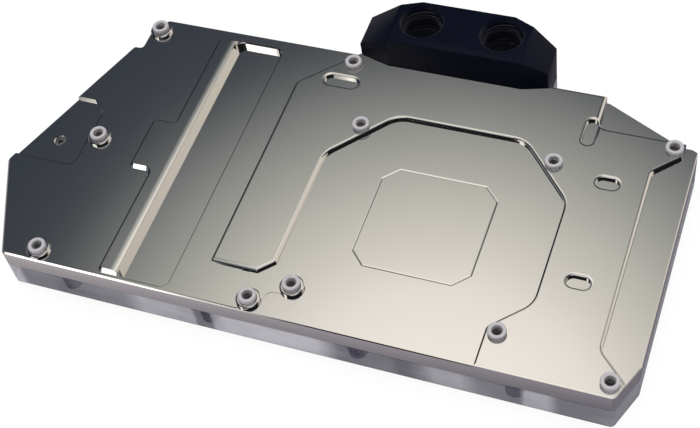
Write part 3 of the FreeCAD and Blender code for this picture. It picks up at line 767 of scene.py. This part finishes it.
def makeFloorFinish(look):
    fixed = {"Base Color": (*look["tint"], 1.0), "Roughness": look["roughness"], "Specular IOR Level": look["shine"]}
    mat, r, shader = material("paleFloor", fixed)
    spot = r.outputs("ShaderNodeSeparateXYZ", Vector=r.objectSpot())
    rays = r.outputs("ShaderNodeLightPath")
    (left, right), (near, far), rise = look["mirrorSpan"], look["riseSpan"], look["rise"]
    across = r.add("ShaderNodeMapRange", Value=spot["X"], From_Min=left, From_Max=right)
    rising = r.add("ShaderNodeMapRange", Value=spot["Y"], From_Min=near, From_Max=far, To_Min=rise[0], To_Max=rise[1])
    tint = r.scaled(r.blend(across, look["mirrorLeft"], look["mirrorRight"]), rising)
    # painted reflection: the floor glows this grey for glossy rays
    paintedReflection = r.add("ShaderNodeEmission", Color=tint)
    white = r.add("ShaderNodeEmission", Color=(1.0, 1.0, 1.0, 1.0))
    wash = look["wash"] - look["washBehindCover"] * rays["Transparent Depth"].atMost(1.0)
    lit = Wire(r.tree, shader.outputs[0])
    mixed = r.add("ShaderNodeMixShader", i0=rays["Is Camera Ray"] * wash, i1=lit, i2=white)
    mixed = r.add("ShaderNodeMixShader", i0=rays["Is Glossy Ray"], i1=mixed, i2=paintedReflection)
    r.link(mixed, r.tree.nodes["Material Output"], "Surface")
    return mat


def makeFloor(s):
    mesh = bpy.data.meshes.new("floor")
    corners = [(x * s["half"], y * s["half"], s["level"]) for x, y in ((-1, -1), (1, -1), (1, 1), (-1, 1))]
    mesh.from_pydata(corners, [], [(0, 1, 2, 3)])
    return newObject("floor", mesh)


floor = makeFloor(floorSizes)
setMaterial(floor, makeFloorFinish(floorLook))

# the studio light. A direction is (azimuth from the X axis towards Y, height) and a fade is (full, gone), in degrees
studio = {"key": (116.0, 63.5), "disc": (45.0, 20.0), "discFade": (30.0, 44.0), "discColour": (0.72, 0.665, 0.605),
          "box": (238.0, 30.0), "boxLayers": [(0.7, (3.4, 4.8)), (0.5, (7.0, 10.5))], "boxTall": (17.0, 20.0),
          "boxColour": (1.6, 1.56, 1.5), "overheadFade": (9.0, 17.0), "overheadColour": (0.55, 0.55, 0.54),
          "fill": (0.55, 0.55, 0.58)}
keyFall = [(0, (1.03, 0.97, 0.92)), (4, (1.03, 0.97, 0.92)), (7, (0.93, 0.88, 0.83)), (9, (0.74, 0.71, 0.66)),
           (11, (0.565, 0.555, 0.515)), (13, (0.385, 0.395, 0.37)), (15.1, (0.225, 0.233, 0.235)),
           (16.9, (0.095, 0.103, 0.112)), (18, (0.056, 0.064, 0.077)), (22, (0.036, 0.043, 0.060)),
           (30, (0.026, 0.030, 0.040)), (40, (0.008, 0.008, 0.010))]  # (degrees from the key, colour)
keyReach = 90.0
cards = [  # (direction, fade to its sides, fade up and down, colour)
    ((214.0, 53.0), (11.0, 15.0), (6.0, 11.0), (1.2, 1.17, 1.12)),
    ((318.0, 20.0), (38.0, 50.0), (10.0, 15.0), (0.40, 0.40, 0.41)),
    ((197.0, 22.0), (17.0, 26.0), (11.0, 16.0), (0.30, 0.30, 0.32)),
    ((97.0, 20.0), (16.0, 26.0), (12.0, 17.0), (0.05, 0.05, 0.055)),
    ((165.0, 20.0), (5.0, 17.0), (14.0, 19.0), (0.22, 0.22, 0.225)),
    ((274.0, 26.0), (12.0, 20.0), (14.0, 19.0), (0.26, 0.26, 0.27)),
]
inDegrees = 180 / math.pi


def bearing(azimuth, height):
    a, h = math.radians(azimuth), math.radians(height)
    return (math.cos(a) * math.cos(h), math.sin(a) * math.cos(h), math.sin(h))


def makeWorld(s):
    world = bpy.data.worlds.new("studio")
    scene.world = world
    world.use_nodes = True
    r = Recipe(world.node_tree)
    background = world.node_tree.nodes["Background"]
    way = r.add("ShaderNodeTexCoord", out=0)  # the direction of each ray
    parts = r.outputs("ShaderNodeSeparateXYZ", Vector=way)
    x, y, z = parts["X"], parts["Y"], parts["Z"]
    height = z.arcSine() * inDegrees
    level = (x * x + y * y + 1e-6) ** 0.5

    def degreesFrom(direction):
        towards = r.add("ShaderNodeVectorMath", {"operation": "DOT_PRODUCT"}, out=1, i0=way, i1=direction)
        return towards.within(-1.0, 1.0).arcCosine() * inDegrees

    def aside(azimuth):
        a = math.radians(azimuth)
        facing = (x * math.cos(a) + y * math.sin(a)) / level
        return facing.within(-1.0, 1.0).arcCosine() * inDegrees

    def above(middle):
        return (height - middle).size()

    def fade(value, ends):
        return r.add("ShaderNodeMapRange", {"interpolation_type": "SMOOTHSTEP"}, Value=value, From_Min=ends[0],
                     From_Max=ends[1], To_Min=1.0, To_Max=0.0)

    stops = [(degrees / keyReach, colour) for degrees, colour in keyFall]
    total = r.add("ShaderNodeValToRGB", {"stops": stops}, Fac=degreesFrom(bearing(*s["key"])) / keyReach)
    total = r.plus(total, r.scaled(s["discColour"], fade(degreesFrom(bearing(*s["disc"])), s["discFade"])))
    azimuth, middle = s["box"]
    (first, firstFade), (second, secondFade) = s["boxLayers"]
    across = first * fade(aside(azimuth), firstFade) + second * fade(aside(azimuth), secondFade)
    total = r.plus(total, r.scaled(s["boxColour"], across * fade(above(middle), s["boxTall"])))
    for (azimuth, middle), wide, tall, colour in cards:
        total = r.plus(total, r.scaled(colour, fade(aside(azimuth), wide) * fade(above(middle), tall)))
    total = r.plus(total, r.scaled(s["overheadColour"], fade(degreesFrom((0.0, 0.0, 1.0)), s["overheadFade"])))
    r.link(total, background, "Color")
    rays = r.outputs("ShaderNodeLightPath")
    white = r.add("ShaderNodeBackground", Color=(1.0, 1.0, 1.0, 1.0), Strength=1.0)
    fill = r.add("ShaderNodeBackground", Color=(*s["fill"], 1.0), Strength=1.0)
    mixed = r.add("ShaderNodeMixShader", i0=rays["Is Glossy Ray"], i1=fill, i2=Wire(r.tree, background.outputs[0]))
    mixed = r.add("ShaderNodeMixShader", i0=rays["Is Camera Ray"], i1=mixed, i2=white)
    r.link(mixed, r.tree.nodes["World Output"], "Surface")


makeWorld(studio)

lampSizes = {"spot": (0.1, 0.1, 1.4), "size": 1.8, "power": 26}


def makeLamp(s):
    data = bpy.data.lights.new("overhead", "AREA")
    data.shape = "SQUARE"
    data.size = s["size"]
    data.energy = s["power"]
    lamp = newObject("overhead", data)
    lamp.location = s["spot"]
    lamp.rotation_euler = (-Vector(s["spot"])).to_track_quat("-Z", "Y").to_euler()
    lamp.visible_camera = False
    lamp.visible_glossy = False


makeLamp(lampSizes)

# the camera, fitted to the photograph: its spot in plan millimetres and the directions of its own axes
cameraSizes = {"sensor": 36, "lens": 71.749, "nearest": 0.01, "spot": (210.0444, -170.8131, 330.7715),
               "across": (0.935449, 0.331659, -0.122220), "upward": (-0.200093, 0.781928, 0.590382),
               "back": (0.291373, -0.527817, 0.797817)}


def makeCamera(s):
    camera = newObject("camera", bpy.data.cameras.new("camera"))
    camera.data.sensor_width = s["sensor"]
    camera.data.lens = s["lens"]
    camera.data.clip_start = s["nearest"]
    turn = Matrix((s["across"], s["upward"], s["back"])).transposed().to_4x4()
    camera.matrix_world = Matrix.Translation(place(*s["spot"])) @ turn
    return camera


scene.camera = makeCamera(cameraSizes)
scene.view_settings.view_transform = "Standard"
print("stage set")
